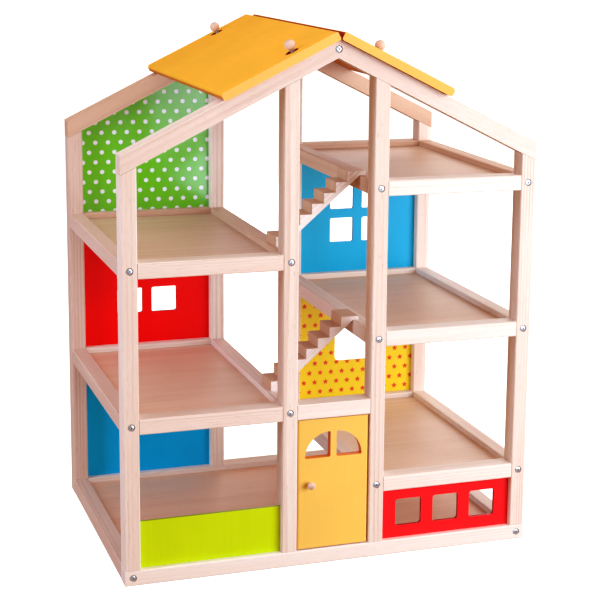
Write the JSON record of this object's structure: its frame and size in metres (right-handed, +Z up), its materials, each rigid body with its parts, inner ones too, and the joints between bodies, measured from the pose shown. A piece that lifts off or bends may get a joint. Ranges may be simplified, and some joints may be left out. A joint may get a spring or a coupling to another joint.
{
  "type": "dollhouse",
  "caption": "Open-framed wooden dollhouse on split levels, with painted panels, loose stair flights, a swinging front door and lift-off roof boards.",
  "frame": {"origin": "middle of the house's footprint, on the surface it stands on", "axes": "+X to the right seen from the front, +Y towards the back, +Z up"},
  "size_m": [0.6, 0.444, 0.7545],
  "materials": {
    "pine": "planed bare pine with fine straight grain",
    "plywood": "sanded bare plywood",
    "beech": "turned bare beech",
    "stair_wood": "sawn and sanded bare wood",
    "orange_paint": "satin paint on wood",
    "yellow_paint": "satin paint on wood",
    "red_paint": "satin paint on wood",
    "lime_paint": "satin paint on wood",
    "green_paint": "satin paint with printed white dots",
    "sky_paint": "satin paint on wood",
    "blue_paint": "satin paint on wood",
    "sun_paint": "satin paint with printed orange stars",
    "screw_steel": "zinc plated"
  },
  "bodies": {
    "house": {"front_post_outer_left": "pine", "front_post_inner_left": "pine", "front_post_inner_right": "pine", "front_post_outer_right": "pine", "back_post_outer_left": "pine", "back_post_inner_left": "pine", "back_post_inner_right": "pine", "back_post_outer_right": "pine", "front_gable": "pine", "back_gable": "pine", "ridge_beam": "pine", "base_front_rail": "pine", "base_back_rail": "pine", "base_left_rail": "pine", "base_right_rail": "pine", "living_front_rail": "pine", "living_back_rail": "pine", "living_left_rail": "pine", "living_right_rail": "pine", "bathroom_front_rail": "pine", "bathroom_back_rail": "pine", "bathroom_left_rail": "pine", "bathroom_right_rail": "pine", "dining_front_rail": "pine", "dining_back_rail": "pine", "dining_left_rail": "pine", "dining_right_rail": "pine", "bedroom_front_rail": "pine", "bedroom_back_rail": "pine", "bedroom_left_rail": "pine", "bedroom_right_rail": "pine", "attic_front_rail": "pine", "attic_back_rail": "pine", "attic_left_rail": "pine", "attic_right_rail": "pine", "door_lintel_rail": "pine", "ground_floor": "plywood", "living_floor": "plywood", "bathroom_floor": "plywood", "dining_floor": "plywood", "bedroom_floor": "plywood", "attic_floor": "plywood", "kitchen_back_panel": "blue_paint", "living_back_panel": "red_paint", "bathroom_back_panel": "green_paint", "dining_back_panel": "sun_paint", "bedroom_back_panel": "sky_paint", "kitchen_front_panel": "lime_paint", "storage_front_panel": "red_paint", "door_pivot_rod": "beech", "roof_peg_front_left": "beech", "roof_peg_front_right": "beech", "roof_peg_back_left": "beech", "roof_peg_back_right": "beech"},
    "lower_flight": {"lower_stairs": "stair_wood"},
    "upper_flight": {"upper_stairs": "stair_wood"},
    "door": {"front_door": "yellow_paint", "door_knob": "beech"},
    "roof_left": {"roof_board_left": "orange_paint"},
    "roof_right": {"roof_board_right": "orange_paint"}
  },
  "joints": [
    {"name": "door_hinge", "type": "hinge", "parent": "house", "child": "door", "pos_m": [0.046, -0.202, 0.119], "axis": [0, 0, 1], "range_deg": [0, 100]},
    {"name": "roof_left_lift", "type": "slide", "parent": "house", "child": "roof_left", "axis": [-0.4448, 0, 0.8956], "range_m": [0, 0.035]},
    {"name": "roof_right_lift", "type": "slide", "parent": "house", "child": "roof_right", "axis": [0.4448, 0, 0.8956], "range_m": [0, 0.035]},
    {"name": "lower_flight_lift", "type": "slide", "parent": "house", "child": "lower_flight", "axis": [0, 0, 1], "range_m": [0, 0.04]},
    {"name": "upper_flight_lift", "type": "slide", "parent": "house", "child": "upper_flight", "axis": [0, 0, 1], "range_m": [0, 0.04]}
  ]
}
